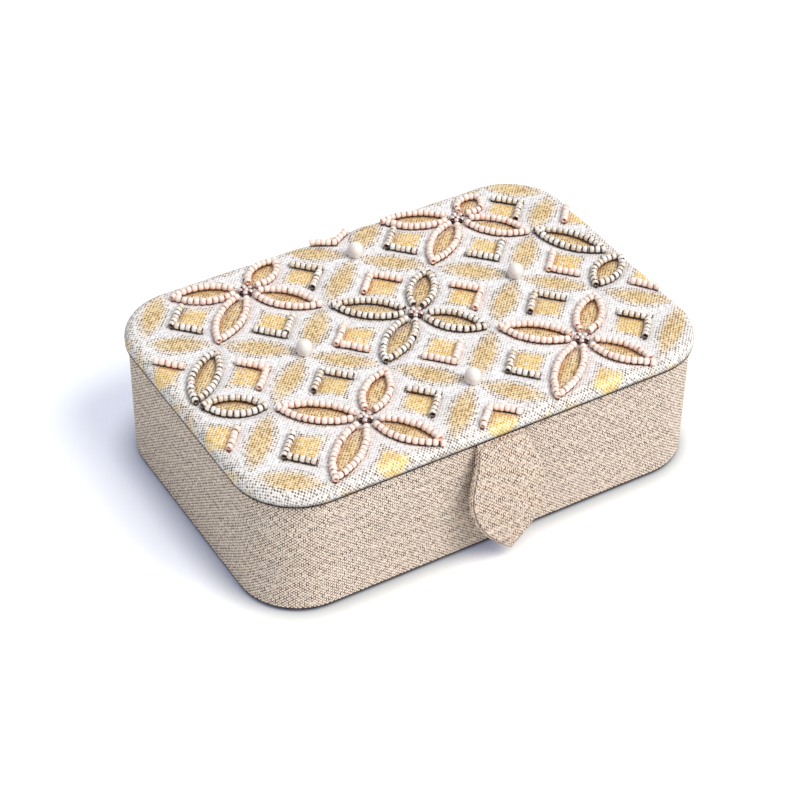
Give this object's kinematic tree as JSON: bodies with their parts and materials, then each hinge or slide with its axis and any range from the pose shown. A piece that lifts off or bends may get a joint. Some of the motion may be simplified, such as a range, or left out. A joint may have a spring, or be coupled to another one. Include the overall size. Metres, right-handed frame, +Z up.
{
  "type": "keepsake box",
  "caption": "Cloth-covered keepsake box with a padded, bead-embroidered lid on a cloth hinge and a pointed magnetic flap at the front.",
  "frame": {"origin": "middle of the underside, under the middle of the walls' outline", "axes": "+X along the front towards the right end, +Y towards the hinge at the back, +Z up"},
  "size_m": [0.2028, 0.1489, 0.0669],
  "materials": {
    "linen": "natural plain-weave linen",
    "cover_cloth": "cream coarse linen with gold foil printing",
    "lining_cloth": "fine lining cloth",
    "grey_board": "raw bookbinder's board",
    "lid_foam": "thin soft foam",
    "magnets": "plated disc magnet",
    "blush_beads": "opaque blush pearl glaze",
    "bronze_beads": "bronze-lined clear glass",
    "pearls": "pearl lustre"
  },
  "bodies": {
    "base": {"underside_cloth": "linen", "floor_board": "grey_board", "wall_board": "grey_board", "wall_cloth": "linen", "wall_lining": "lining_cloth", "floor_pad": "lining_cloth", "wall_magnet": "magnets", "hinge_cloth": "linen"},
    "lid": {"blush_corner_1": "blush_beads", "blush_corner_10": "blush_beads", "blush_corner_11": "blush_beads", "blush_corner_12": "blush_beads", "blush_corner_2": "blush_beads", "blush_corner_3": "blush_beads", "blush_corner_4": "blush_beads", "blush_corner_5": "blush_beads", "blush_corner_6": "blush_beads", "blush_corner_7": "blush_beads", "blush_corner_8": "blush_beads", "blush_corner_9": "blush_beads", "blush_flower_1": "blush_beads", "blush_flower_2": "blush_beads", "blush_flower_3": "blush_beads", "blush_flower_4": "blush_beads", "bronze_corner_1": "bronze_beads", "bronze_corner_10": "bronze_beads", "bronze_corner_11": "bronze_beads", "bronze_corner_12": "bronze_beads", "bronze_corner_2": "bronze_beads", "bronze_corner_3": "bronze_beads", "bronze_corner_4": "bronze_beads", "bronze_corner_5": "bronze_beads", "bronze_corner_6": "bronze_beads", "bronze_corner_7": "bronze_beads", "bronze_corner_8": "bronze_beads", "bronze_corner_9": "bronze_beads", "bronze_flower": "bronze_beads", "bronze_flower_centre": "blush_beads", "bronze_petal_1": "bronze_beads", "bronze_petal_2": "bronze_beads", "bronze_petal_3": "bronze_beads", "bronze_petal_4": "bronze_beads", "flap_tab": "linen", "flower_centre_1": "blush_beads", "flower_centre_2": "blush_beads", "flower_centre_3": "blush_beads", "flower_centre_4": "blush_beads", "lid_board": "grey_board", "lid_cover_cloth": "cover_cloth", "lid_hinge_leaf": "linen", "lid_lining_panel": "lining_cloth", "lid_padding": "lid_foam", "pearl_1": "pearls", "pearl_2": "pearls", "pearl_3": "pearls", "pearl_4": "pearls"},
    "flap": {"flap_board": "grey_board", "flap_front_cloth": "linen", "flap_back_cloth": "linen", "flap_magnet": "magnets"}
  },
  "joints": [
    {"name": "lid_hinge", "type": "hinge", "parent": "base", "child": "lid", "pos_m": [0, 0.0694, 0.0533], "axis": [-1, 0, 0], "range_deg": [0, 180]},
    {"name": "flap_hinge", "type": "hinge", "parent": "lid", "child": "flap", "pos_m": [0, -0.0698, 0.0533], "axis": [-1, 0, 0], "range_deg": [-10, 100]}
  ]
}
